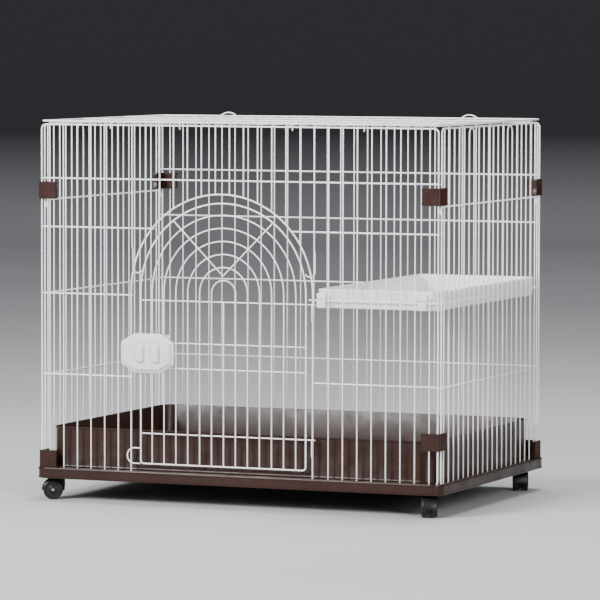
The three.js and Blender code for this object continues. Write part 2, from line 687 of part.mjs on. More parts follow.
function makeBaseTray() {
  const rim = [RIM_X, RIM_Y, 26];
  const rimInner = [RIM_X - TRAY_SKIN, RIM_Y - TRAY_SKIN, 24];
  const tub = [TRAY_X, TRAY_Y, 34];
  const tubInner = [TRAY_X - TRAY_SKIN, TRAY_Y - TRAY_SKIN, 32];
  const skirt = draftedBlock(rim, RIM_BOTTOM, RIM_TOP, 0.8);
  const wall = draftedBlock(tub, RIM_BOTTOM, TRAY_TOP, TRAY_DRAFT);
  const under = draftedBlock(rimInner, RIM_BOTTOM - 1, RIM_TOP - 12, 0.4);
  const inside = draftedBlock(tubInner, FLOOR_TOP, TRAY_TOP + 1, 0);
  let tray = skirt.subtract(under).add(wall).subtract(inside);
  for (const [sx, sy] of CORNERS) {
    tray = tray.add(cylinderZ(sx * CASTER_X, sy * CASTER_Y, 12, RIM_BOTTOM, SOCKET_TOP + 2));
    tray = tray.subtract(cylinderZ(sx * CASTER_X, sy * CASTER_Y, 8 + GAP, RIM_BOTTOM - 1, SOCKET_TOP + GAP));
  }
  const grooveBottom = BOTTOM_RAIL - FRAME / 2 - GAP;
  const half = FRAME / 2 + 2 * GAP;
  for (const side of [-1, 1]) {
    const y = side * HALF_DEPTH;
    const x = side * SIDE_X;
    const longHalf = HALF_WIDTH + FRAME / 2 + GAP;
    const shortHalf = SIDE_HALF + FRAME / 2 + GAP;
    tray = tray.subtract(box(-longHalf, longHalf, y - half, y + half, grooveBottom, RIM_TOP + 1));
    tray = tray.subtract(box(x - half, x + half, -shortHalf, shortHalf, grooveBottom, RIM_TOP + 1));
  }
  return tray;
}

// ---------- shelf ----------

function makeShelf() {
  const halfX = (SHELF_RIGHT - SHELF_LEFT) / 2;
  const middle = (SHELF_LEFT + SHELF_RIGHT) / 2;
  const outer = [halfX, SHELF_HALF_Y, 14];
  const inner = [halfX - SHELF_SKIN, SHELF_HALF_Y - SHELF_SKIN, 12];
  const outside = draftedBlock(outer, SHELF_BOTTOM, SHELF_TOP, 0, middle);
  const inside = draftedBlock(inner, SHELF_BOTTOM + 3, SHELF_TOP + 1, 0, middle);
  const solids = [outside.subtract(inside)];
  const over = SHELF_RAIL + FRAME / 2 + GAP;
  for (const x of SHELF_HOOKS) {
    for (const side of [-1, 1]) {
      const lip = side * (HALF_DEPTH + 3);
      const face = side * (HALF_DEPTH - 0.6);
      const root = side * (SHELF_HALF_Y - 1);
      solids.push(box(x - 10, x + 10, lip, root, over, SHELF_HOOK_TOP));
      solids.push(box(x - 10, x + 10, lip, face, SHELF_BOTTOM + 1, over + 1));
    }
  }
  return join(solids);
}

// ---------- casters ----------

function makeSocket() {
  const sleeve = cylinderZ(0, 0, 8, RIM_BOTTOM, SOCKET_TOP);
  const flange = cylinderZ(0, 0, 10.5, RIM_BOTTOM - GAP - 1.2, RIM_BOTTOM - GAP);
  const neck = cylinderZ(0, 0, 8, RIM_BOTTOM - GAP - 1, RIM_BOTTOM + 1);
  const bore = cylinderZ(0, 0, 5 + GAP, RIM_BOTTOM - 3, SOCKET_TOP + 1);
  return join([sleeve, flange, neck]).subtract(bore);
}

function makeStem() {
  return cylinderZ(0, 0, 5, STEM_FOOT, SOCKET_TOP - 2);
}

function makeHood() {
  const outer = WHEEL_RADIUS + 3;
  const shell = new THREE.Shape();
  const wheelX = -CASTER_TRAIL;
  shell.moveTo(wheelX + outer, WHEEL_Z - 2);
  shell.lineTo(wheelX + outer, WHEEL_Z);
  shell.absarc(wheelX, WHEEL_Z, outer, 0, Math.PI, false);
  shell.lineTo(wheelX - outer, WHEEL_Z - 2);
  shell.lineTo(wheelX - outer + 2, WHEEL_Z - 2);
  shell.lineTo(wheelX - outer + 2, WHEEL_Z);
  shell.absarc(wheelX, WHEEL_Z, outer - 2, Math.PI, 0, true);
  shell.lineTo(wheelX + outer - 2, WHEEL_Z - 2);
  const halfWidth = WHEEL_OFFSET + WHEEL_WIDTH / 2;
  const web = cylinderY(wheelX, WHEEL_Z, WHEEL_RADIUS - 4, -3.4, 3.4);
  const spine = box(wheelX - 12, wheelX + outer - 1, -3.4, 3.4, WHEEL_Z - 1, WHEEL_Z + outer - 8);
  const post = cylinderZ(0, 0, 8, WHEEL_Z + 3, RIM_BOTTOM - GAP - 1.5);
  const wheelInner = WHEEL_OFFSET - WHEEL_WIDTH / 2 - 0.6;
  const wheelSpace = [
    cylinderY(wheelX, WHEEL_Z, outer - 2, -halfWidth - 1, -wheelInner, 16),
    cylinderY(wheelX, WHEEL_Z, outer - 2, wheelInner, halfWidth + 1, 16),
  ];
  const axleBore = cylinderY(wheelX, WHEEL_Z, 3 + 2 * GAP, -5, 5, 8);
  const stemBore = cylinderZ(0, 0, 5 + GAP, STEM_FOOT - GAP, RIM_BOTTOM);
  return plateXZ(shell, -halfWidth, halfWidth, 5)
    .add(web).add(spine).add(post)
    .subtract(join(wheelSpace)).subtract(axleBore).subtract(stemBore);
}

function makeAxle() {
  const half = WHEEL_OFFSET + WHEEL_WIDTH / 2 - 1;
  return cylinderY(-CASTER_TRAIL, WHEEL_Z, 3, -half, half, 10);
}

// A wheel turned about its axle, with a dished face and a shouldered tread.
function makeWheel(side) {
  const half = WHEEL_WIDTH / 2;
  const profile = [
    [3 + GAP, -half], [WHEEL_RADIUS, -half], [WHEEL_RADIUS, half - 2], [WHEEL_RADIUS - 4, half],
    [3 + GAP, half - 2], [3 + GAP, -half],
  ].map(([r, y]) => new THREE.Vector2(r, y));
  const geometry = new THREE.LatheGeometry(profile, WHEEL_SIDES);
  geometry.rotateY(Math.PI / WHEEL_SIDES);
  if (side < 0) {
    geometry.rotateX(Math.PI);
  }
  geometry.translate(-CASTER_TRAIL, side * WHEEL_OFFSET, WHEEL_Z);
  return solidOf(geometry);
}

function addCaster(corner, x, y, heading) {
  const caster = new THREE.Group();
  caster.position.set(x, y, 0);
  caster.rotation.z = heading;
  addPart(`caster_${corner}_socket`, makeSocket(), blackPlastic(), caster);
  addPart(`caster_${corner}_stem`, makeStem(), steel(), caster);
  addPart(`caster_${corner}_hood`, makeHood(), blackPlastic(), caster);
  addPart(`caster_${corner}_axle`, makeAxle(), steel(), caster);
  addPart(`caster_${corner}_wheel_a`, makeWheel(-1), blackPlastic(), caster);
  addPart(`caster_${corner}_wheel_b`, makeWheel(1), blackPlastic(), caster);
  cage.add(caster);
}

// ---------- build ----------

addPart('base_tray', makeBaseTray(), darkPlastic());
addPart('front_panel_left', makeFrontWing(-1), wirePaint());
addPart('front_panel_right', makeFrontWing(1), wirePaint());
addPart('front_panel_head', makeFrontHead(), wirePaint());
addPart('rear_panel', makeRearPanel(), wirePaint());
addPart('left_panel', makeSidePanel(), wirePaint()).rotation.z = Math.PI;
addPart('right_panel', makeSidePanel(), wirePaint());
addPart('roof', makeRoof(), wirePaint());
addPart('door', makeDoor(), wirePaint());
addPart('latch_cover', makeLatchCover(), latchPlastic());
addPart('latch_back_plate', makeLatchBack(), latchPlastic());
addPart('latch_bolt', makeLatchBolt(), latchPlastic());
addPart('latch_spring', makeLatchSpring(), steel());
addPart('latch_screw_upper', makeLatchScrew(LATCH_SCREWS[0]), steel());
addPart('latch_screw_lower', makeLatchScrew(LATCH_SCREWS[1]), steel());
addPart('shelf', makeShelf(), shelfPlastic());

for (const [corner, sideX, sideY, lowZ] of CLIPS) {
  addPart(`clip_upper_${corner}`, makeCornerClip(sideX, sideY, CLIP_UPPER_Z), clipPlastic());
  addPart(`clip_lower_${corner}`, makeCornerClip(sideX, sideY, lowZ), clipPlastic());
}

addCaster('front_left', -CASTER_X, -CASTER_Y, HEADING_ACROSS);
addCaster('front_right', CASTER_X, -CASTER_Y, HEADING_BACK);
addCaster('rear_left', -CASTER_X, CASTER_Y, HEADING_ACROSS);
addCaster('rear_right', CASTER_X, CASTER_Y, HEADING_BACK);

// The origin lies on the floor under the middle of the whole outline.
cage.position.y = -(GRIP_FRONT + RIM_Y) / 2;

export default cage;
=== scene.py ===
"""The looks of a wire rabbit cage: round welded wire, moulded trays, clips, a latch and casters."""

import math
import bpy
from mathutils import Matrix, Vector


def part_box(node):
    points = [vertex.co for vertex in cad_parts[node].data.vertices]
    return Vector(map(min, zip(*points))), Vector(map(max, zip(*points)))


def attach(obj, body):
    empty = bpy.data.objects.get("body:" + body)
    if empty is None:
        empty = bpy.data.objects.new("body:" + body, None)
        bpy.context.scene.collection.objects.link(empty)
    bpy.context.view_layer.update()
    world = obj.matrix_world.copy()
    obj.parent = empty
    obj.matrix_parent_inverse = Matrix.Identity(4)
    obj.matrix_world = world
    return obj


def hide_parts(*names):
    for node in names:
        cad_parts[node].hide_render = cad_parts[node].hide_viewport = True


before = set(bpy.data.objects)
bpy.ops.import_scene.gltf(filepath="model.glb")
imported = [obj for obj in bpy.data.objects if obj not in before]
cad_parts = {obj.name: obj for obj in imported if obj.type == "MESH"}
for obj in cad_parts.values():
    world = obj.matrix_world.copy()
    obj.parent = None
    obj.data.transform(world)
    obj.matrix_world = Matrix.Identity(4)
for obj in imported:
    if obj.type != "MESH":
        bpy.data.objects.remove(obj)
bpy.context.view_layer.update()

X = Vector((1, 0, 0))
Y = Vector((0, 1, 0))
Z = Vector((0, 0, 1))

# ---------- sizes, in metres ----------

WIRE = 0.0015            # radius of an upright wire
RAIL = 0.0018            # radius of a frame wire or rail
INSET = 0.0032           # rails lie this far inside the uprights
STUB = 0.0028            # rail ends stand this far past the wires they end on
CORNER = 0.010           # bend radius at a panel's top corners

PITCH = 0.033
WIDE_WIRES = 28
EDGE_GAP = 0.0195
SIDE_WIRES = 20
SIDE_LOOPS = (5, 13)     # from these side wires the wire turns over into its neighbour
FRONT_RAILS = (0.279, 0.457, 0.603, 0.7095)
SIDE_RAILS = (0.276, 0.456)
SIDE_TOP_RAIL = 0.661
SIDE_RAIL_DROP = 0.016

ARCH_X = -0.0355
ARCH_Z = 0.466
ARCH_RADIUS = 0.214
JAMB_REACH = 0.005       # an upright this near a jamb ends in a stop hook
STOP_Z = 0.518
STOP_RADIUS = 0.012
STOP_BEND = (0.036, 0.050)  # above STOP_Z the hook's wire steps back between these heights
STOP_SETBACK = 0.0012
RAIL_PAST_JAMB = 0.011

DOOR_X = -0.032
DOOR_RADIUS = 0.1945
DOOR_RING_X = -0.030
DOOR_RING_STEP = 0.0282
DOOR_RINGS = 6
DOOR_BOTTOM = 0.090
HINGE_RAILS = (0.156, 0.447)
LATCH_RAILS = (0.300, 0.355)
HOOK = 0.0045
HINGE_TAIL = 0.037
BRACE_FOOT = 0.038       # the V braces rise from here above the arch's centre
BRACE_RUN = 0.117
BRACE_RISE = 0.155
BUMPER_RADIUS = 0.017    # the bent wire at the foot of the door's free side

ROOF_WIRE_RISE = 0.0044  # above the panels' top rails
ROOF_RISE = 0.0078
ROOF_STIFFENER = 0.107
ROOF_HOOKS = (-0.297, -0.132, 0.132, 0.297)
ROOF_LOOPS = (-0.297, 0.297)
CLASP_GAP = 0.0003
CLASP_DROP = 0.008
CLASP_CORNER = 0.0015
LOOP_HALF = 0.020
LOOP_RISE = 0.008

LATCH_HALF = (0.0625, 0.043)
LATCH_CUT = (0.032, 0.019)       # taken off each corner of the latch case
LATCH_CORNER = 0.006
LATCH_FACE = 0.007               # from the grips' faces back to the cover's face
GRIP_HALF = (0.009, 0.019)
GRIP_CORNER = 0.005
GRIP_X = (-0.014, 0.023)         # the sliding grip and the fixed one, from the latch's middle
SLIDE_HALF = 0.013
SPRING_SLOT_HALF = 0.0045
BOLT_HALF = 0.006

CLIP_LEG = 0.043
CLIP_THICK = 0.0085
CLIP_CORNER = 0.006
CLIP_RIB = 0.0009
CLIP_RIB_PITCH = 0.0047
CLIP_RIB_STEPS = 60

LEDGE = 0.073                    # top of the base tray's rim
FLOOR = 0.052                    # top of the floor inside the tub
RIM_CORNER = 0.026
TUB_CORNER = 0.034
TUB_INSET = (0.026, 0.028)       # from the rim in to the tub wall, along x and y
TUB_LEAN = 0.001

SHELF_HOOKS = (0.198, 0.429)
SHELF_HALF_Y = 0.309
SHELF_CORNER = 0.014
HOOK_HALF = 0.010
HOOK_TOP = 0.473
HOOK_ROOT = 0.307                # from the middle of the cage to the hook's inner end
HOOK_FACE = 0.3194
HOOK_LIP = 0.323

CASTERS = ("front_left", "front_right", "rear_left", "rear_right")


# ---------- places read from the frame ----------

def middle(node):
    low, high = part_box(node)
    return (low + high) / 2


rear_low, rear_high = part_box("rear_panel")
side_low, side_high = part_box("right_panel")
front_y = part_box("front_panel_left")[0].y + RAIL
rear_y = rear_high.y - RAIL
mid_y = (front_y + rear_y) / 2
half_width = rear_high.x - STUB
bottom_z = rear_low.z + RAIL
top_z = rear_high.z - RAIL
side_x = side_high.x - RAIL
side_half = (side_high.y - side_low.y) / 2 - STUB
side_pitch = 2 * side_half / SIDE_WIRES
jamb_x = ARCH_X - ARCH_RADIUS
hinge_x = ARCH_X + ARCH_RADIUS
door_left = DOOR_X - DOOR_RADIUS
door_right = DOOR_X + DOOR_RADIUS


# ---------- shapes ----------

class Solid:
    """The points and faces of one mesh, gathered from closed skins."""

    def __init__(self):
        self.points = []
        self.faces = []

    def skin(self, rings, closed=False):
        """A skin over rings of equal size, capped at both ends unless it closes on itself."""
        base = len(self.points)
        size = len(rings[0])
        count = len(rings)
        for ring in rings:
            self.points.extend(tuple(point) for point in ring)
        for r in range(count if closed else count - 1):
            a = base + r * size
            b = base + (r + 1) % count * size
            for i in range(size):
                j = (i + 1) % size
                self.faces.append((a + i, a + j, b + j, b + i))
        if not closed:
            last = base + (count - 1) * size
            self.faces.append(tuple(range(base + size - 1, base - 1, -1)))
            self.faces.append(tuple(range(last, last + size)))

    def tube(self, path, radius, closed=False, sides=10):
        """A round wire along a path, with softened ends."""
        path = [Vector(point) for point in path]
        count = len(path)
        rings = []
        tangents = []
        normal = None
        for i, point in enumerate(path):
            before = path[i - 1] if closed else path[max(i - 1, 0)]
            after = path[(i + 1) % count] if closed else path[min(i + 1, count - 1)]
            tangent = (after - before).normalized()
            if normal is None:
                normal = plane_normal(path, tangent)
            normal = (normal - tangent * normal.dot(tangent)).normalized()
            rings.append(circle(point, normal, tangent.cross(normal), radius, sides))
            tangents.append(tangent)
        if not closed:
            first = [path[0] + 0.55 * (p - path[0]) for p in rings[0]]
            last = [path[-1] + 0.55 * (p - path[-1]) for p in rings[-1]]
            rings[0] = [p + 0.6 * radius * tangents[0] for p in rings[0]]
            rings[-1] = [p - 0.6 * radius * tangents[-1] for p in rings[-1]]
            rings = [first] + rings + [last]
        self.skin(rings, closed)

    def pad(self, centre, half_x, half_z, corner, levels):
        """A block that faces the front: rounded rectangles at levels of (inset, y)."""
        rings = []
        for inset, y in levels:
            a = half_x - inset
            b = half_z - inset
            corners = [(-a, -b), (a, -b), (a, b), (-a, b)]
            outline = [(centre.x + u, y, centre.z + w) for u, w in corners]
            rings.append(bend(outline, max(corner - inset, 0.0004), closed=True))
        self.skin(rings)

    def block(self, low, high, edge=0.0008):
        """A box between two corners with softened edges."""
        low = Vector(low)
        high = Vector(high)
        size = high - low
        levels = [(edge, low.y), (0, low.y + edge), (0, high.y - edge), (edge, high.y)]
        self.pad((low + high) / 2, size.x / 2, size.z / 2, edge * 1.5, levels)


def plane_normal(path, tangent):
    """A direction square to the plane that a path lies in, or to the path if it is straight."""
    for point in path:
        normal = tangent.cross(point - path[0])
        if normal.length > 1e-5:
            return normal.normalized()
    return tangent.orthogonal()


def circle(centre, u, v, radius, sides):
    turns = [2 * math.pi * i / sides for i in range(sides)]
    return [centre + radius * (math.cos(t) * u + math.sin(t) * v) for t in turns]


def arc(centre, u, v, radius, start, end, steps=8):
    """Points round a centre; angles in degrees from direction u towards direction v."""
    centre = Vector(centre)
    points = []
    for i in range(steps + 1):
        t = math.radians(start + (end - start) * i / steps)
        points.append(centre + radius * (math.cos(t) * u + math.sin(t) * v))
    return points


def bend(corners, radius, closed=False, steps=5):
    """Straight runs between corner points, with every corner rounded."""
    corners = [Vector(corner) for corner in corners]
    count = len(corners)
    path = []
    for i, corner in enumerate(corners):
        if not closed and i in (0, count - 1):
            path.append(corner)
            continue
        back = (corners[i - 1] - corner).normalized()
        on = (corners[(i + 1) % count] - corner).normalized()
        half = back.angle(on) / 2
        centre = corner + (back + on).normalized() * radius / math.sin(half)
        start = corner + back * radius / math.tan(half) - centre
        end = corner + on * radius / math.tan(half) - centre
        turn = start.angle(end)
        for step in range(steps + 1):
            t = step / steps
            a = math.sin((1 - t) * turn) / math.sin(turn)
            b = math.sin(t * turn) / math.sin(turn)
            path.append(centre + a * start + b * end)
    return path


def add_piece(name, solid, look, body, stands_for, sharp=40):
    """Makes a mesh object that rides on a body and stands for CAD nodes."""
    mesh = bpy.data.meshes.new(name)
    mesh.from_pydata(solid.points, [], solid.faces)
    mesh.validate()
    mesh.materials.append(look)
    piece = bpy.data.objects.new(name, mesh)
    bpy.context.scene.collection.objects.link(piece)
    bpy.context.view_layer.objects.active = piece
    piece.select_set(True)
    bpy.ops.object.mode_set(mode="EDIT")
    bpy.ops.mesh.select_all(action="SELECT")
    bpy.ops.mesh.normals_make_consistent(inside=False)
    bpy.ops.object.mode_set(mode="OBJECT")
    piece.select_set(False)
    mesh.shade_smooth()
    mesh.set_sharp_from_angle(angle=math.radians(sharp))
    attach(piece, body)
    if stands_for:
        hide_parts(*stands_for)
    return piece


# ---------- materials ----------

class Look:
    """A procedural material on one Principled shader."""

    def __init__(self, name):
        self.material = bpy.data.materials.new(name)
        self.material.use_nodes = True
        self.tree = self.material.node_tree
        self.shader = self.tree.nodes["Principled BSDF"]
        self.place = self.tree.nodes.new("ShaderNodeTexCoord").outputs["Object"]

    def link(self, source, target):
        self.tree.links.new(source, target)

    def noise(self, scale, detail=4.0, stretch=(1, 1, 1)):
        mapping = self.tree.nodes.new("ShaderNodeMapping")
        mapping.inputs["Scale"].default_value = stretch
        self.link(self.place, mapping.inputs["Vector"])
        node = self.tree.nodes.new("ShaderNodeTexNoise")
        node.inputs["Scale"].default_value = scale
        node.inputs["Detail"].default_value = detail
        self.link(mapping.outputs["Vector"], node.inputs["Vector"])
        return node.outputs["Fac"]

    def spread(self, source, low, high, start=0.35, end=0.65):
        """The source from start to end, as a value from low to high."""
        node = self.tree.nodes.new("ShaderNodeMapRange")
        for name, value in (("From Min", start), ("From Max", end), ("To Min", low), ("To Max", high)):
            node.inputs[name].default_value = value
        self.link(source, node.inputs["Value"])
        return node.outputs["Result"]

    def mix(self, factor, first, second):
        """A colour between two, each a colour or the output of a node."""
        node = self.tree.nodes.new("ShaderNodeMix")
        node.data_type = "RGBA"
        colours = [socket for socket in node.inputs if socket.type == "RGBA"]
        for socket, value in zip(colours, (first, second)):
            if isinstance(value, tuple):
                socket.default_value = (*value, 1)
            else:
                self.link(value, socket)
        self.link(factor, node.inputs[0])
        return [socket for socket in node.outputs if socket.type == "RGBA"][0]

    def facing_up(self):
        geometry = self.tree.nodes.new("ShaderNodeNewGeometry")
        split = self.tree.nodes.new("ShaderNodeSeparateXYZ")
        self.link(geometry.outputs["Normal"], split.inputs["Vector"])
        return split.outputs["Z"]

    def times(self, first, second):
        node = self.tree.nodes.new("ShaderNodeMath")
        node.operation = "MULTIPLY"
        self.link(first, node.inputs[0])
        self.link(second, node.inputs[1])
        return node.outputs["Value"]

    def finish(self, colour, roughness, bumps):
        """Joins up the colour, the roughness and the bumps of (height, strength, distance)."""
        self.link(colour, self.shader.inputs["Base Color"])
        self.link(roughness, self.shader.inputs["Roughness"])
        normal = None
        for height, strength, distance in bumps:
            bump = self.tree.nodes.new("ShaderNodeBump")
            bump.inputs["Strength"].default_value = strength
            bump.inputs["Distance"].default_value = distance
            self.link(height, bump.inputs["Height"])
            if normal:
                self.link(normal, bump.inputs["Normal"])
            normal = bump.outputs["Normal"]
        self.link(normal, self.shader.inputs["Normal"])
        return self.material


def wire_coating():
    """White dipped coating: faint runs along the wire, a little dust on top."""
    look = Look("wire_coating")
    runs = look.noise(70, 5, (1, 1, 0.25))
    tone = look.mix(look.spread(runs, 0, 1), (0.90, 0.90, 0.895), (0.97, 0.97, 0.965))
    dust = look.times(look.spread(look.facing_up(), 0, 0.2, 0.4, 1), look.noise(140, 3))
    colour = look.mix(dust, tone, (0.60, 0.57, 0.52))
    roughness = look.spread(look.noise(220, 4), 0.24, 0.42)
    look.shader.inputs["Coat Weight"].default_value = 0.25
    peel = look.noise(1400, 2)
    return look.finish(colour, roughness, [(runs, 0.25, 0.0004), (peel, 0.12, 0.0002)])


def moulded_plastic(name, dark, light, gloss, grain, grime):
    """Moulded plastic: cloudy tone, fine grain, rubbed scratches and dust on top faces."""
    look = Look(name)
    cloud = look.noise(9, 6)
    tone = look.mix(look.spread(cloud, 0, 1, 0.3, 0.7), dark, light)
    scratch = look.noise(160, 2, (1, 0.06, 1))
    rubbed = look.mix(look.spread(scratch, 0, 0.25, 0.64, 0.74), tone, tuple(1.3 * c for c in light))
    dust = look.times(look.spread(look.facing_up(), 0, grime, 0.6, 1), look.noise(45, 5))
    colour = look.mix(dust, rubbed, (0.30, 0.26, 0.22))
    roughness = look.spread(look.noise(30, 5), gloss, gloss + 0.14)
    look.shader.inputs["Specular IOR Level"].default_value = 0.35
    fine = look.noise(grain, 3)
    bumps = [(cloud, 0.1, 0.002), (fine, 0.14, 0.0002), (scratch, 0.06, 0.0002)]
    return look.finish(colour, roughness, bumps)


def brushed_steel():
    look = Look("brushed_steel")
    lines = look.noise(500, 3, (1, 1, 0.1))
    colour = look.mix(look.spread(lines, 0, 1), (0.42, 0.42, 0.43), (0.66, 0.66, 0.67))
    look.shader.inputs["Metallic"].default_value = 1.0
    roughness = look.spread(look.noise(90, 4), 0.22, 0.45)
    return look.finish(colour, roughness, [(lines, 0.2, 0.0002)])


def studio_paper():
    """Paper that is pale underfoot, with painted shade that darkens it up the wall behind the cage."""
    look = Look("studio_paper")
    soft = look.noise(0.7, 3)
    pale = look.mix(look.spread(soft, 0, 1), (0.50, 0.505, 0.515), (0.54, 0.545, 0.555))
    split = look.tree.nodes.new("ShaderNodeSeparateXYZ")
    look.link(look.place, split.inputs["Vector"])
    # painted shade: the paper turns nearly black from the floor to half a metre up the wall
    colour = look.mix(look.spread(split.outputs["Z"], 0, 1, 0.0, 0.5), pale, (0.050, 0.052, 0.058))
    roughness = look.spread(look.noise(40, 3), 0.75, 0.9)
    return look.finish(colour, roughness, [(look.noise(300, 2), 0.05, 0.0005)])


wire = wire_coating()
steel = brushed_steel()
base_brown = moulded_plastic(
    "base_brown", dark=(0.021, 0.0058, 0.0032), light=(0.028, 0.0080, 0.0045),
    gloss=0.28, grain=900, grime=0.0)
clip_brown = moulded_plastic(
    "clip_brown", dark=(0.025, 0.0072, 0.0042), light=(0.034, 0.0100, 0.0060),
    gloss=0.32, grain=1300, grime=0.03)
shelf_white = moulded_plastic(
    "shelf_white", dark=(0.90, 0.885, 0.85), light=(0.80, 0.79, 0.755),
    gloss=0.16, grain=1100, grime=0.05)
latch_white = moulded_plastic(
    "latch_white", dark=(0.78, 0.785, 0.82), light=(0.71, 0.715, 0.75),
    gloss=0.28, grain=1500, grime=0.05)
caster_black = moulded_plastic(
    "caster_black", dark=(0.006, 0.006, 0.0065), light=(0.012, 0.012, 0.013),
    gloss=0.34, grain=1200, grime=0.06)


# ---------- wire panels ----------

def wide_wires():
    return [-half_width + EDGE_GAP + i * PITCH for i in range(WIDE_WIRES)]


def front_panel():
    """One welded panel with the arched doorway let into it."""
    solid = Solid()
    y = front_y
    rail_y = y + INSET
    outline = [
        (jamb_x, y, bottom_z), (-half_width, y, bottom_z), (-half_width, y, top_z),
        (half_width, y, top_z), (half_width, y, bottom_z), (hinge_x, y, bottom_z),
    ]
    solid.tube(bend(outline, CORNER), RAIL)
    arch = arc((ARCH_X, y, ARCH_Z), X, Z, ARCH_RADIUS, 180, 0, 36)
    solid.tube([(jamb_x, y, bottom_z)] + arch + [(hinge_x, y, bottom_z)], RAIL)
    for x in wide_wires():
        if min(abs(x - jamb_x), abs(x - hinge_x)) < JAMB_REACH:
            inward = math.copysign(1, ARCH_X - x)
            behind = y + INSET + STOP_SETBACK
            centre = (x + inward * STOP_RADIUS, behind, STOP_Z)
            hook = arc(centre, -inward * X, -Z, STOP_RADIUS, 0, 150, 10)
            low, high = STOP_BEND
            step = [(x, y, top_z), (x, y, STOP_Z + high), (x, behind, STOP_Z + low)]
            solid.tube(step + hook, WIRE)
        elif jamb_x < x < hinge_x:
            foot = ARCH_Z + math.sqrt(ARCH_RADIUS ** 2 - (x - ARCH_X) ** 2)
            solid.tube([(x, y, foot), (x, y, top_z)], WIRE)
        else:
            solid.tube([(x, y, bottom_z), (x, y, top_z)], WIRE)
    low, shelf_rail, arch_rail, high = FRONT_RAILS
    reach = math.sqrt(ARCH_RADIUS ** 2 - (arch_rail - ARCH_Z) ** 2) - 0.004
    runs = [
        (low, -half_width - STUB, jamb_x + STUB), (low, hinge_x - STUB, half_width + STUB),
        (shelf_rail, -half_width - STUB, jamb_x + STUB),
        (shelf_rail, hinge_x - RAIL_PAST_JAMB, half_width + STUB),
        (arch_rail, -half_width - STUB, ARCH_X - reach), (arch_rail, ARCH_X + reach, half_width + STUB),
        (high, -half_width - STUB, half_width + STUB),
    ]
    for z, x0, x1 in runs:
        solid.tube([(x0, rail_y, z), (x1, rail_y, z)], RAIL)
    return solid


def rear_panel():
    solid = Solid()
    outline = [
        (-half_width, rear_y, bottom_z), (-half_width, rear_y, top_z),
        (half_width, rear_y, top_z), (half_width, rear_y, bottom_z),
    ]
    solid.tube(bend(outline, CORNER, closed=True), RAIL, closed=True)
    for x in wide_wires():
        solid.tube([(x, rear_y, bottom_z), (x, rear_y, top_z)], WIRE)
    for z in FRONT_RAILS:
        ends = [(side * (half_width + STUB), rear_y - INSET, z) for side in (-1, 1)]
        solid.tube(ends, RAIL)
    return solid


def side_panel(side):
    solid = Solid()
    x = side * side_x
    rail_x = x - side * INSET
    low_y = mid_y - side_half
    high_y = mid_y + side_half
    outline = [(x, low_y, bottom_z), (x, low_y, top_z), (x, high_y, top_z), (x, high_y, bottom_z)]
    solid.tube(bend(outline, CORNER, closed=True), RAIL, closed=True)
    turned = {i + step for i in SIDE_LOOPS for step in (0, 1)}
    for i in range(SIDE_WIRES):
        y = low_y + side_pitch * (i + 0.5)
        if i not in turned:
            solid.tube([(x, y, bottom_z), (x, y, top_z)], WIRE)
        if i in SIDE_LOOPS:
            over = (x, y + side_pitch / 2, top_z - RAIL - side_pitch / 2)
            path = arc(over, Y, Z, side_pitch / 2, 180, 0, 12)
            foot = Vector((x, y, bottom_z))
            solid.tube([foot] + path + [foot + side_pitch * Y], WIRE)
    for z in SIDE_RAILS:
        solid.tube([(rail_x, low_y - STUB, z), (rail_x, high_y + STUB, z)], RAIL)
    top_rail = [
        (rail_x, low_y, SIDE_TOP_RAIL - SIDE_RAIL_DROP), (rail_x, low_y, SIDE_TOP_RAIL),
        (rail_x, high_y, SIDE_TOP_RAIL), (rail_x, high_y, SIDE_TOP_RAIL - SIDE_RAIL_DROP),
    ]
    solid.tube(bend(top_rail, 0.008), RAIL)
    return solid


def roof():
    solid = Solid()
    z = top_z + ROOF_RISE
    wire_z = top_z + ROOF_WIRE_RISE
    outline = [
        (-half_width, front_y, z), (half_width, front_y, z),
        (half_width, rear_y, z), (-half_width, rear_y, z),
    ]
    solid.tube(bend(outline, CORNER, closed=True), RAIL, closed=True)
    for y in (mid_y - ROOF_STIFFENER, mid_y + ROOF_STIFFENER):
        solid.tube([(-half_width, y, z), (half_width, y, z)], RAIL)
    for x in wide_wires():
        solid.tube([(x, front_y - WIRE, wire_z), (x, rear_y + WIRE, wire_z)], WIRE)
    for x in ROOF_HOOKS:
        ring = arc((x, rear_y, top_z), Y, Z, HOOK, 70, -150, 12)
        solid.tube([(x, rear_y, z)] + ring, WIRE)
        clasp_y = front_y - RAIL - WIRE - CLASP_GAP
        clasp = [(x, front_y, z), (x, clasp_y, z), (x, clasp_y, top_z - CLASP_DROP)]
        solid.tube(bend(clasp, CLASP_CORNER), WIRE)
    radius = (LOOP_HALF ** 2 + LOOP_RISE ** 2) / (2 * LOOP_RISE)
    sweep = math.degrees(math.asin(LOOP_HALF / radius))
    for x in ROOF_LOOPS:
        centre = (x, rear_y, z + LOOP_RISE - radius)
        solid.tube(arc(centre, X, Z, radius, 90 + sweep, 90 - sweep, 12), WIRE)
    return solid


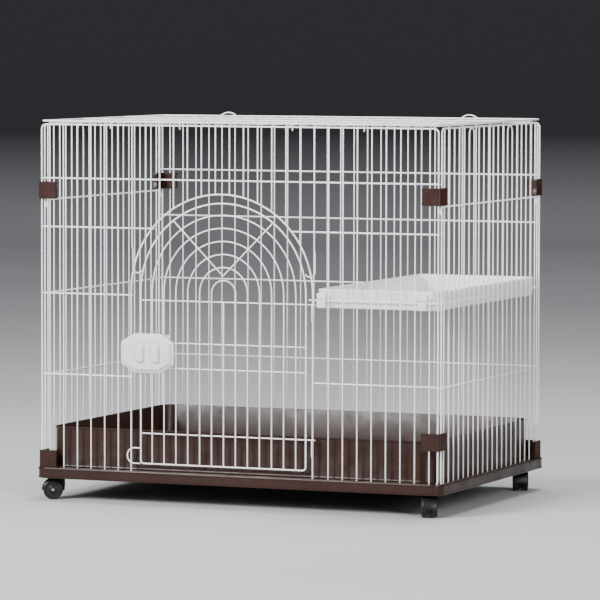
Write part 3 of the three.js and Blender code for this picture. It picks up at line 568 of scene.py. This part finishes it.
def door():
    """Hoops inside an arched frame, hung from two wire eyes."""
    solid = Solid()
    y = front_y
    rail_y = y + INSET
    legs = [
        (door_right, y, ARCH_Z), (door_right, y, DOOR_BOTTOM),
        (door_left, y, DOOR_BOTTOM), (door_left, y, ARCH_Z),
    ]
    outline = arc((DOOR_X, y, ARCH_Z), X, Z, DOOR_RADIUS, 180, 0, 36) + bend(legs, 0.007)[1:-1]
    solid.tube(outline, RAIL, closed=True)
    for i in range(1, DOOR_RINGS + 1):
        radius = i * DOOR_RING_STEP
        hoop = arc((DOOR_RING_X, y, ARCH_Z), X, Z, radius, 180, 0, 28)
        left = (DOOR_RING_X - radius, y, DOOR_BOTTOM)
        right = (DOOR_RING_X + radius, y, DOOR_BOTTOM)
        solid.tube([left] + hoop + [right], WIRE)
    centre_top = HINGE_RAILS[1] + WIRE
    solid.tube([(DOOR_RING_X, y, DOOR_BOTTOM), (DOOR_RING_X, y, centre_top)], WIRE)
    for z in LATCH_RAILS:
        solid.tube([(door_left - RAIL, rail_y, z), (door_right + RAIL, rail_y, z)], WIRE)
    for z in HINGE_RAILS:
        eye = arc((hinge_x, y, z), Y, X, HOOK, 0, 180, 12)
        tail = [(hinge_x, y - HOOK, z), (hinge_x, y - HOOK, z - HINGE_TAIL)]
        solid.tube([(door_left - RAIL, rail_y, z), (hinge_x - HOOK, rail_y, z)] + eye, WIRE)
        solid.tube(tail, WIRE)
    for side in (-1, 1):
        foot = (DOOR_RING_X, y - 2 * WIRE, ARCH_Z + BRACE_FOOT)
        head = (DOOR_RING_X + side * BRACE_RUN, y - 2 * WIRE, ARCH_Z + BRACE_RISE)
        solid.tube([foot, head], WIRE)
    bumper_y = y - RAIL - WIRE
    bumper_centre = (door_left - 0.014, bumper_y, DOOR_BOTTOM + BUMPER_RADIUS)
    turn = arc(bumper_centre, X, Z, BUMPER_RADIUS, 90, 270, 12)
    top = (door_left, bumper_y, DOOR_BOTTOM + 2 * BUMPER_RADIUS)
    solid.tube([top] + turn + [(door_left, bumper_y, DOOR_BOTTOM)], WIRE)
    return solid


def add_wirework():
    fronts = ["front_panel_left", "front_panel_right", "front_panel_head"]
    add_piece("front_wirework", front_panel(), wire, "cage", fronts)
    add_piece("rear_wirework", rear_panel(), wire, "cage", ["rear_panel"])
    add_piece("left_wirework", side_panel(-1), wire, "cage", ["left_panel"])
    add_piece("right_wirework", side_panel(1), wire, "cage", ["right_panel"])
    add_piece("roof_wirework", roof(), wire, "roof", ["roof"])
    add_piece("door_wirework", door(), wire, "door", ["door"])


# ---------- latch ----------

def cut(piece, low, high):
    """Cuts a box out of a piece."""
    tool_shape = Solid()
    tool_shape.block(low, high, 0.0006)
    mesh = bpy.data.meshes.new("cutter")
    mesh.from_pydata(tool_shape.points, [], tool_shape.faces)
    tool = bpy.data.objects.new("cutter", mesh)
    bpy.context.scene.collection.objects.link(tool)
    modifier = piece.modifiers.new("cut", "BOOLEAN")
    modifier.object = tool
    modifier.solver = "EXACT"
    bpy.context.view_layer.update()
    shaped = bpy.data.meshes.new_from_object(piece.evaluated_get(bpy.context.evaluated_depsgraph_get()))
    piece.modifiers.clear()
    piece.data = shaped
    bpy.data.objects.remove(tool)


def latch_outline(centre, inset, y):
    """An octagon with rounded corners, wider than it is high."""
    half_x = LATCH_HALF[0] - inset
    half_z = LATCH_HALF[1] - inset
    cut_x = LATCH_CUT[0] - inset / 2
    cut_z = LATCH_CUT[1] - inset / 2
    quarter = [(half_x, half_z - cut_z), (half_x - cut_x, half_z)]
    corners = []
    for sx, sz in ((1, 1), (-1, 1), (-1, -1), (1, -1)):
        pair = quarter if sx == sz else quarter[::-1]
        corners.extend((centre.x + sx * x, y, centre.z + sz * z) for x, z in pair)
    return bend(corners, LATCH_CORNER, closed=True)


def add_latch_shell(centre, front, back):
    """The stepped case, hollow behind, with a window that the sliding grip stands in."""
    levels = [
        (0.0006, back), (0, back - 0.0008), (0, back - 0.0045), (0.0012, back - 0.0058),
        (0.0040, back - 0.0064), (0.0052, back - 0.0075), (0.0060, front + 0.0022),
        (0.0074, front + 0.0007), (0.0100, front),
    ]
    cover = Solid()
    cover.skin([latch_outline(centre, inset, y) for inset, y in levels])
    piece = add_piece("latch_shell", cover, latch_white, "door", ["latch_cover"], 50)
    hollow_low = (centre.x - 0.050, front + 0.003, centre.z - 0.030)
    hollow_high = (centre.x + 0.048, back + 0.001, centre.z + 0.034)
    cut(piece, hollow_low, hollow_high)
    grip_x = centre.x + GRIP_X[0]
    window_low = (grip_x - 0.011, front - 0.002, centre.z - 0.014)
    window_high = (grip_x + 0.0195, front + 0.005, centre.z + 0.014)
    cut(piece, window_low, window_high)
    piece.data.shade_smooth()
    piece.data.set_sharp_from_angle(angle=math.radians(35))


def add_fixed_grip(centre, front, levels):
    """The grip that the thumb pulls against, with a thin ridge above and below the pair."""
    grip = Solid()
    place = Vector((centre.x + GRIP_X[1], 0, centre.z))
    grip.pad(place, *GRIP_HALF, GRIP_CORNER, levels)
    middle_x = centre.x + sum(GRIP_X) / 2
    middle_z = centre.z + 0.001
    for z0, z1 in ((0.0215, 0.0232), (-0.0232, -0.0215)):
        low = (middle_x - 0.026, front - 0.0010, middle_z + z0)
        high = (middle_x + 0.026, front + 0.0010, middle_z + z1)
        grip.block(low, high, 0.0004)
    add_piece("latch_fixed_grip", grip, latch_white, "door", [], 50)


def add_latch_slide(centre, front, levels):
    """The sliding grip, its neck and plate behind the cover, and the bolt past the jamb."""
    bolt_low, bolt_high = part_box("latch_bolt")
    slide = Solid()
    grip_x = centre.x + GRIP_X[0]
    slide.pad(Vector((grip_x, 0, centre.z)), *GRIP_HALF, GRIP_CORNER, levels)
    arm_x = bolt_low.x + 0.010
    plate_front = front + 0.0035
    plate_back = front + 0.0075
    tip_front = bolt_high.y - 0.0028

    def bar(x0, x1, y0, y1, z0, z1):
        slide.block((x0, y0, centre.z + z0), (x1, y1, centre.z + z1))

    bar(grip_x - GRIP_HALF[0], grip_x + GRIP_HALF[0], front - 0.0010, plate_back, -0.012, 0.012)
    bar(arm_x, centre.x + 0.002, plate_front, plate_back, -SLIDE_HALF, SLIDE_HALF)
    for z0, z1 in ((-SLIDE_HALF, -SPRING_SLOT_HALF), (SPRING_SLOT_HALF, SLIDE_HALF)):
        bar(centre.x, bolt_high.x, plate_front, plate_back, z0, z1)
    bar(arm_x, arm_x + 0.006, plate_front, bolt_high.y, -BOLT_HALF, BOLT_HALF)
    bar(bolt_low.x, arm_x + 0.006, tip_front, bolt_high.y, -BOLT_HALF, BOLT_HALF)
    add_piece("latch_slide", slide, latch_white, "latch_bolt", ["latch_bolt"], 50)


def add_latch():
    low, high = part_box("latch_cover")
    centre = (low + high) / 2
    front = low.y + LATCH_FACE
    dished = [(0.0030, low.y), (0.0012, low.y + 0.0006), (0.0002, low.y + 0.0020)]
    add_latch_shell(centre, front, high.y)
    add_fixed_grip(centre, front, dished + [(0, front), (0, front + 0.0015)])
    add_latch_slide(centre, front, dished + [(0, front - 0.0006)])


# ---------- corner clips ----------

def rib_depth(along):
    """How far the ribbed face lies inside its outermost line; never positive."""
    return 0.5 * CLIP_RIB * (math.cos(2 * math.pi * along / CLIP_RIB_PITCH) - 1)


def clip_outline(side_sign, y_sign, outer_x, outer_y):
    """An L seen from above, with ribbed outer faces and a rounded outer corner."""
    straight = CLIP_LEG - CLIP_CORNER
    ribbed = [straight * i / CLIP_RIB_STEPS for i in range(CLIP_RIB_STEPS + 1)]
    path = [(outer_x - CLIP_LEG + along, outer_y + rib_depth(along)) for along in ribbed]
    corner_at = (outer_x - CLIP_CORNER, outer_y - CLIP_CORNER, 0)
    path.extend((p.x, p.y) for p in arc(corner_at, Y, X, CLIP_CORNER, 8, 82, 6))
    path.extend((outer_x + rib_depth(along), outer_y - CLIP_LEG + along) for along in reversed(ribbed))
    path.append((outer_x - CLIP_THICK, outer_y - CLIP_LEG))
    path.append((outer_x - CLIP_THICK, outer_y - CLIP_THICK))
    path.append((outer_x - CLIP_LEG, outer_y - CLIP_THICK))
    return [Vector((side_sign * x, mid_y + y_sign * y, 0)) for x, y in path]


def add_clip(node, side_sign, y_sign):
    """A clip with a lip and a shallow groove round it at both ends."""
    low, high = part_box(node)
    outer_x = max(abs(low.x), abs(high.x))
    outer_y = max(abs(low.y - mid_y), abs(high.y - mid_y))
    outline = clip_outline(side_sign, y_sign, outer_x, outer_y)
    core = Vector((side_sign * (outer_x - 0.004), mid_y + y_sign * (outer_y - 0.004), 0))
    levels = [
        (0.975, low.z), (1, low.z + 0.0012), (1, low.z + 0.006), (0.985, low.z + 0.0066),
        (0.985, high.z - 0.0066), (1, high.z - 0.006), (1, high.z - 0.0012), (0.975, high.z),
    ]
    solid = Solid()
    solid.skin([[core + share * (p - core) + z * Z for p in outline] for share, z in levels])
    add_piece(f"{node}_moulding", solid, clip_brown, "cage", [node], 55)


def add_clips():
    signs = {"front_left": (-1, -1), "front_right": (1, -1), "rear_right": (1, 1), "rear_left": (-1, 1)}
    for place, (side_sign, y_sign) in signs.items():
        for level in ("upper", "lower"):
            add_clip(f"clip_{level}_{place}", side_sign, y_sign)


# ---------- trays ----------

def tray_ring(centre, half_x, half_y, radius, z):
    corners = [(-half_x, -half_y), (half_x, -half_y), (half_x, half_y), (-half_x, half_y)]
    points = [(centre.x + x, centre.y + y, z) for x, y in corners]
    return bend(points, radius, closed=True, steps=9)


def add_base():
    """The rim with its panel groove, the tub wall inside it, and the caster bosses."""
    low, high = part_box("base_tray")
    centre = (low + high) / 2
    rim_x = high.x - centre.x
    rim_y = high.y - centre.y
    foot = low.z
    top = high.z

    def rim(inset, z):
        return tray_ring(centre, rim_x - inset, rim_y - inset, RIM_CORNER - inset / 2, z)

    def tub(inset, z):
        inward = inset + TUB_LEAN * (z - foot) / (top - foot)
        half_x = rim_x - TUB_INSET[0] - inward
        half_y = rim_y - TUB_INSET[1] - inward
        return tray_ring(centre, half_x, half_y, TUB_CORNER - inset, z)

    solid = Solid()
    solid.skin([
        tub(0.004, foot), tub(0, foot + 0.003), tub(0, LEDGE - 0.012), rim(0.003, LEDGE - 0.012),
        rim(0.003, foot + 0.001), rim(0.0022, foot), rim(0.0009, foot + 0.0002), rim(0, foot + 0.0014),
        rim(0, foot + 0.004), rim(0.0007, foot + 0.0046), rim(0.0007, LEDGE - 0.0052),
        rim(0, LEDGE - 0.0046), rim(0, LEDGE - 0.0020), rim(0.0006, LEDGE - 0.0006),
        rim(0.0020, LEDGE), rim(0.0090, LEDGE), rim(0.0095, LEDGE - 0.0006), rim(0.0095, LEDGE - 0.0066),
        rim(0.0155, LEDGE - 0.0066), rim(0.0155, LEDGE - 0.0006), rim(0.0160, LEDGE),
        tub(-0.0030, LEDGE + 0.0004), tub(-0.0008, LEDGE + 0.0020), tub(0, LEDGE + 0.0050),
        tub(0, top - 0.0050), tub(-0.0016, top - 0.0040), tub(-0.0020, top - 0.0016),
        tub(-0.0010, top - 0.0003), tub(0.0006, top), tub(0.0022, top - 0.0005),
        tub(0.0030, top - 0.0020), tub(0.0030, FLOOR + 0.0080), tub(0.0040, FLOOR + 0.0030),
        tub(0.0070, FLOOR + 0.0006), tub(0.0120, FLOOR),
    ])
    for place in CASTERS:
        at = middle(f"caster_{place}_socket")
        levels = [(0.0120, foot + 0.001), (0.0120, 0.0725), (0.0110, 0.0738), (0.0095, 0.0740)]
        solid.skin([circle(Vector((at.x, at.y, z)), X, Y, radius, 28) for radius, z in levels])
    add_piece("base_moulding", solid, base_brown, "cage", ["base_tray"])


def add_shelf():
    """A shallow tray with a rolled lip, hung from the side rails by four flat hooks."""
    low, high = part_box("shelf")
    centre = (low + high) / 2
    half_x = (high.x - low.x) / 2
    bottom = low.z
    top = high.z

    def wall(inset, z):
        return tray_ring(centre, half_x - inset, SHELF_HALF_Y - inset, SHELF_CORNER - inset / 2, z)

    solid = Solid()
    solid.skin([
        wall(0.0060, bottom), wall(0.0032, bottom + 0.0004), wall(0.0018, bottom + 0.0020),
        wall(0.0014, bottom + 0.0050), wall(0.0010, top - 0.0060), wall(0.0002, top - 0.0050),
        wall(0, top - 0.0020), wall(0.0006, top - 0.0005), wall(0.0018, top), wall(0.0030, top - 0.0006),
        wall(0.0036, top - 0.0022), wall(0.0040, bottom + 0.0110), wall(0.0052, bottom + 0.0060),
        wall(0.0084, bottom + 0.0035), wall(0.0130, bottom + 0.0030),
    ])
    over = FRONT_RAILS[1] + RAIL + 0.0003
    for x in SHELF_HOOKS:
        for side in (-1, 1):
            bars = [(HOOK_ROOT, over, HOOK_TOP), (HOOK_FACE, bottom + 0.001, over + 0.003)]
            for inner, z0, z1 in bars:
                y0, y1 = sorted((mid_y + side * HOOK_LIP, mid_y + side * inner))
                solid.block((x - HOOK_HALF, y0, z0), (x + HOOK_HALF, y1, z1), 0.0010)
    add_piece("shelf_moulding", solid, shelf_white, "shelf", ["shelf"], 50)


# ---------- casters ----------

def add_caster(place):
    """Twin wheels under a curved hood, with a rib down its back and a neck for the stem."""
    stem = middle(f"caster_{place}_stem")
    hub = middle(f"caster_{place}_axle")
    back = (hub - stem) * Vector((1, 1, 0))
    back.normalize()
    across = Z.cross(back)
    name = f"caster_{place}"
    radius = hub.z

    def turned(profile, start, end, steps, closed):
        """A profile of (radius, across) turned about the axle, angles from the back towards up."""
        rings = []
        for i in range(steps if closed else steps + 1):
            t = math.radians(start + (end - start) * i / steps)
            out = math.cos(t) * back + math.sin(t) * Z
            rings.append([hub + r * out + v * across for r, v in profile])
        return rings

    tread = [
        (0.0034, 0.0041), (0.0190, 0.0041), (radius - 0.0008, 0.0048), (radius, 0.0062),
        (radius, 0.0138), (radius - 0.0007, 0.0156), (radius - 0.0022, 0.0166), (0.0178, 0.0169),
        (0.0170, 0.0160), (0.0160, 0.0148), (0.0094, 0.0143), (0.0082, 0.0150), (0.0074, 0.0164),
        (0.0064, 0.0169), (0.0034, 0.0169),
    ]
    for letter, side in (("a", -1), ("b", 1)):
        wheel = Solid()
        wheel.skin(turned([(r, side * v) for r, v in tread], 0, 360, 56, True), closed=True)
        node = f"{name}_wheel_{letter}"
        add_piece(f"{node}_turned", wheel, caster_black, node, [node], 35)

    half_shell = [(0.0252, 0.0128), (0.0248, 0.0148), (0.0240, 0.0162), (0.0230, 0.0169)]
    half_shell += [(0.0226, 0.0164), (0.0230, 0.0150), (0.0233, 0.0128)]
    shell = [(r, -v) for r, v in half_shell[:1]] + half_shell
    shell += [(r, -v) for r, v in half_shell[:0:-1]]
    hood = Solid()
    hood.skin(turned(shell, -4, 184, 40, False))
    web = [(0.0170, -0.0034), (0.0180, -0.0029), (0.0180, 0.0029), (0.0170, 0.0034)]
    hood.skin([circle(hub + v * across, back, Z, r, 40) for r, v in web])
    rib_low = hub - 0.024 * back - 0.001 * Z
    rib_section = [(-0.0034, 0), (0.0034, 0), (0.0034, 0.034), (-0.0034, 0.034)]
    hood.skin([[rib_low + w * Z + v * across + u * back for v, u in rib_section] for w in (0, 0.017)])
    neck = [(0.0070, hub.z + 0.003), (0.0080, hub.z + 0.005), (0.0080, 0.0455), (0.0072, 0.0472)]
    hood.skin([circle(Vector((stem.x, stem.y, z)), X, Y, r, 28) for r, z in neck])
    add_piece(f"{name}_shell", hood, caster_black, f"{name}_fork", [f"{name}_hood"], 35)


def finish_cad_nodes():
    """The pieces that are shown as they are in the frame take their finish here."""
    finishes = {"latch_back_plate": latch_white}
    for node in ("latch_spring", "latch_screw_upper", "latch_screw_lower"):
        finishes[node] = steel
    for place in CASTERS:
        finishes[f"caster_{place}_socket"] = caster_black
        finishes[f"caster_{place}_stem"] = steel
        finishes[f"caster_{place}_axle"] = steel
    for node, look in finishes.items():
        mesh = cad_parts[node].data
        mesh.materials.clear()
        mesh.materials.append(look)


# ---------- studio ----------

def add_backdrop():
    """A wide pale floor that curves up into a low wall all round."""
    floor_radius = 11.0
    bend_radius = 2.0
    wall_top = 4.0
    sides = 72
    curve = arc((floor_radius, 0, bend_radius), X, Z, bend_radius, -80, 0, 12)
    profile = [(0.5, 0.0), (floor_radius, 0.0)] + [(p.x, p.z) for p in curve]
    profile.append((floor_radius + bend_radius, wall_top))
    points = []
    for radius, z in profile:
        points.extend(tuple(p) for p in circle(Vector((0, 0, z)), X, Y, radius, sides))
    faces = [tuple(range(sides))]
    for r in range(len(profile) - 1):
        for i in range(sides):
            j = (i + 1) % sides
            faces.append((r * sides + i, (r + 1) * sides + i, (r + 1) * sides + j, r * sides + j))
    mesh = bpy.data.meshes.new("floor")
    mesh.from_pydata(points, [], faces)
    mesh.materials.append(studio_paper())
    mesh.shade_smooth()
    floor = bpy.data.objects.new("floor", mesh)
    bpy.context.scene.collection.objects.link(floor)


def add_light(name, place, target, size, power):
    light = bpy.data.lights.new(name, "AREA")
    light.shape = "DISK"
    light.size = size
    light.energy = power
    lamp = bpy.data.objects.new(name, light)
    lamp.location = place
    lamp.rotation_euler = (Vector(target) - Vector(place)).to_track_quat("-Z", "Y").to_euler()
    bpy.context.scene.collection.objects.link(lamp)


def add_studio():
    add_backdrop()
    add_light("key", (-2.4, -4.6, 3.0), (0, 0, 0.4), 2.0, 480)
    add_light("fill", (4.2, -3.6, 2.0), (0, 0, 0.4), 2.4, 210)
    add_light("top", (0.3, 0.8, 4.4), (0, 0, 0.4), 2.4, 170)
    world = bpy.data.worlds.new("studio")
    world.use_nodes = True
    world.node_tree.nodes["Background"].inputs["Color"].default_value = (0.93, 0.95, 1.0, 1)
    world.node_tree.nodes["Background"].inputs["Strength"].default_value = 0.35
    bpy.context.scene.world = world


def add_camera():
    """A long lens from the right of the front, a little above the middle of the cage."""
    yaw = 0.3937
    pitch = 0.0641
    roll = 0.0019
    place = Vector((3.651, -8.747, 1.043))
    level = Vector((-math.sin(yaw), math.cos(yaw), 0))
    forward = math.cos(pitch) * level - math.sin(pitch) * Z
    right = Vector((math.cos(yaw), math.sin(yaw), 0))
    turn = Matrix((right, right.cross(forward), -forward)).transposed()
    turn = turn @ Matrix.Rotation(roll, 3, "Z")
    data = bpy.data.cameras.new("camera")
    data.lens = 256.2
    data.sensor_width = 36
    data.clip_end = 60
    camera = bpy.data.objects.new("camera", data)
    camera.matrix_world = Matrix.Translation(place) @ turn.to_4x4()
    bpy.context.scene.collection.objects.link(camera)
    bpy.context.scene.camera = camera


# ---------- build ----------

add_wirework()
add_latch()
add_clips()
add_base()
add_shelf()
for corner in CASTERS:
    add_caster(corner)
finish_cad_nodes()
add_studio()
add_camera()
